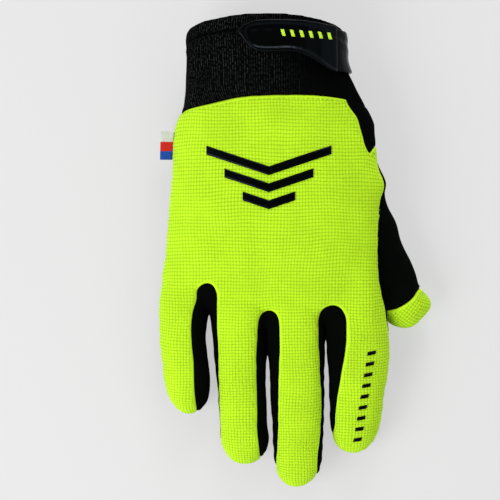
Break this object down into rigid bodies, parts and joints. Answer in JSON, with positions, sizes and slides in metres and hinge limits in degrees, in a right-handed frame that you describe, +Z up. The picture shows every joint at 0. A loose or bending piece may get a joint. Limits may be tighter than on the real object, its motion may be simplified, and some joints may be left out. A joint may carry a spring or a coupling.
{
  "type": "motocross glove",
  "caption": "Right-hand riding glove lying palm down: grid-weave back, suede palm and thumb, finger gussets, ribbed elastic cuff, closure strap with a moulded tab.",
  "frame": {"origin": "under the middle of the glove's box, on the table", "axes": "+Y from the fingertips to the cuff, +X towards the thumb, +Z up out of the back of the hand"},
  "size_m": [0.1354, 0.2362, 0.0407],
  "materials": {
    "lime_fabric": "grid-weave polyester, fluorescent lime",
    "black_suede": "synthetic suede, black",
    "black_stretch": "stretch fabric, black",
    "black_knit": "ribbed elastic knit, black",
    "black_rubber": "moulded, semi-gloss black",
    "woven_label": "woven ribbon in three colour bands"
  },
  "bodies": {
    "root": {"back_panel": "lime_fabric", "thumb_tip": "lime_fabric", "palm_panel": "black_suede", "thumb_panel": "black_suede", "gusset_little_ring": "black_stretch", "gusset_ring_middle": "black_stretch", "gusset_middle_index": "black_stretch", "wrist_gusset": "black_stretch", "cuff": "black_knit", "cuff_binding": "black_stretch", "strap_band": "black_stretch", "strap_tab": "black_rubber", "side_label": "woven_label", "print_chevron_1": "black_rubber", "print_chevron_2": "black_rubber", "print_chevron_3": "black_rubber"}
  },
  "joints": []
}
